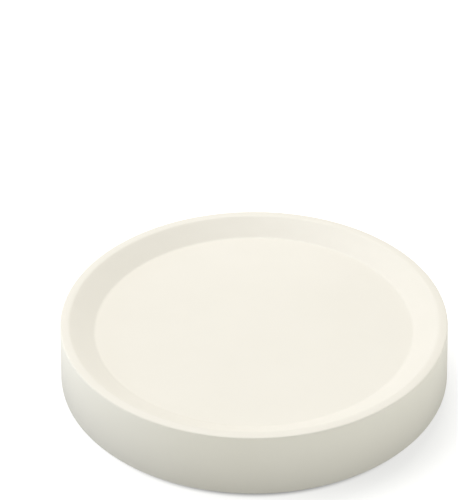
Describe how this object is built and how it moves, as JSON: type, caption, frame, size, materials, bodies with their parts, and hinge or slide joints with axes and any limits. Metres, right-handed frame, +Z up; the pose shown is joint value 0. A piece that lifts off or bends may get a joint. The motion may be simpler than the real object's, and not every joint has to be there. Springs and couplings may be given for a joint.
{
  "type": "plant caddy",
  "caption": "Round moulded plant caddy: a shallow recessed saucer with a deep skirt that hides swivel plate casters with rubber tyres.",
  "frame": {"origin": "on the ground, under the centre of the round tray, with the caddy standing on its wheels", "axes": "+Z up out of the recess, +Y towards the back of the view and +X to its right"},
  "size_m": [0.305, 0.305, 0.0642],
  "materials": {
    "tray_plastic": "satin moulded cream polypropylene",
    "zinc_steel": "bright zinc-plated pressed steel",
    "pin_steel": "zinc-plated turned and riveted steel",
    "ball_steel": "bare bearing steel",
    "screw_steel": "zinc-plated screw steel",
    "hub_nylon": "satin ivory nylon",
    "tyre_rubber": "satin black rubber"
  },
  "bodies": {
    "caddy": {"tray": "tray_plastic", "plate_screws": "screw_steel", "caster_plate_front_left": "zinc_steel", "race_balls_front_left": "ball_steel", "race_cup_front_left": "zinc_steel", "king_pin_front_left": "pin_steel", "caster_plate_front_right": "zinc_steel", "race_balls_front_right": "ball_steel", "race_cup_front_right": "zinc_steel", "king_pin_front_right": "pin_steel", "caster_plate_rear_left": "zinc_steel", "race_balls_rear_left": "ball_steel", "race_cup_rear_left": "zinc_steel", "king_pin_rear_left": "pin_steel", "caster_plate_rear_right": "zinc_steel", "race_balls_rear_right": "ball_steel", "race_cup_rear_right": "zinc_steel", "king_pin_rear_right": "pin_steel"},
    "swivel_front_left": {"fork_front_left": "zinc_steel", "axle_rivet_front_left": "pin_steel", "axle_bush_front_left": "pin_steel"},
    "wheel_front_left": {"hub_front_left": "hub_nylon", "tyre_front_left": "tyre_rubber"},
    "swivel_front_right": {"fork_front_right": "zinc_steel", "axle_rivet_front_right": "pin_steel", "axle_bush_front_right": "pin_steel"},
    "wheel_front_right": {"hub_front_right": "hub_nylon", "tyre_front_right": "tyre_rubber"},
    "swivel_rear_left": {"fork_rear_left": "zinc_steel", "axle_rivet_rear_left": "pin_steel", "axle_bush_rear_left": "pin_steel"},
    "wheel_rear_left": {"hub_rear_left": "hub_nylon", "tyre_rear_left": "tyre_rubber"},
    "swivel_rear_right": {"fork_rear_right": "zinc_steel", "axle_rivet_rear_right": "pin_steel", "axle_bush_rear_right": "pin_steel"},
    "wheel_rear_right": {"hub_rear_right": "hub_nylon", "tyre_rear_right": "tyre_rubber"}
  },
  "joints": [
    {"name": "swivel_front_left", "type": "hinge", "parent": "caddy", "child": "swivel_front_left", "pos_m": [-0.06354, -0.07107, 0.0442], "axis": [0, 0, 1], "continuous": true},
    {"name": "roll_front_left", "type": "hinge", "parent": "swivel_front_left", "child": "wheel_front_left", "pos_m": [-0.08218, -0.0761, 0.02], "axis": [0.2605, -0.9655, 0], "continuous": true},
    {"name": "swivel_front_right", "type": "hinge", "parent": "caddy", "child": "swivel_front_right", "pos_m": [0.07107, -0.06354, 0.0442], "axis": [0, 0, 1], "continuous": true},
    {"name": "roll_front_right", "type": "hinge", "parent": "swivel_front_right", "child": "wheel_front_right", "pos_m": [0.05476, -0.07386, 0.02], "axis": [0.5344, -0.8453, 0], "continuous": true},
    {"name": "swivel_rear_left", "type": "hinge", "parent": "caddy", "child": "swivel_rear_left", "pos_m": [-0.07107, 0.06354, 0.0442], "axis": [0, 0, 1], "continuous": true},
    {"name": "roll_rear_left", "type": "hinge", "parent": "swivel_rear_left", "child": "wheel_rear_left", "pos_m": [-0.05219, 0.05953, 0.02], "axis": [0.2079, 0.9781, 0], "continuous": true},
    {"name": "swivel_rear_right", "type": "hinge", "parent": "caddy", "child": "swivel_rear_right", "pos_m": [0.06354, 0.07107, 0.0442], "axis": [0, 0, 1], "continuous": true},
    {"name": "roll_rear_right", "type": "hinge", "parent": "swivel_rear_right", "child": "wheel_rear_right", "pos_m": [0.0446, 0.07475, 0.02], "axis": [-0.1908, -0.9816, 0], "continuous": true}
  ]
}
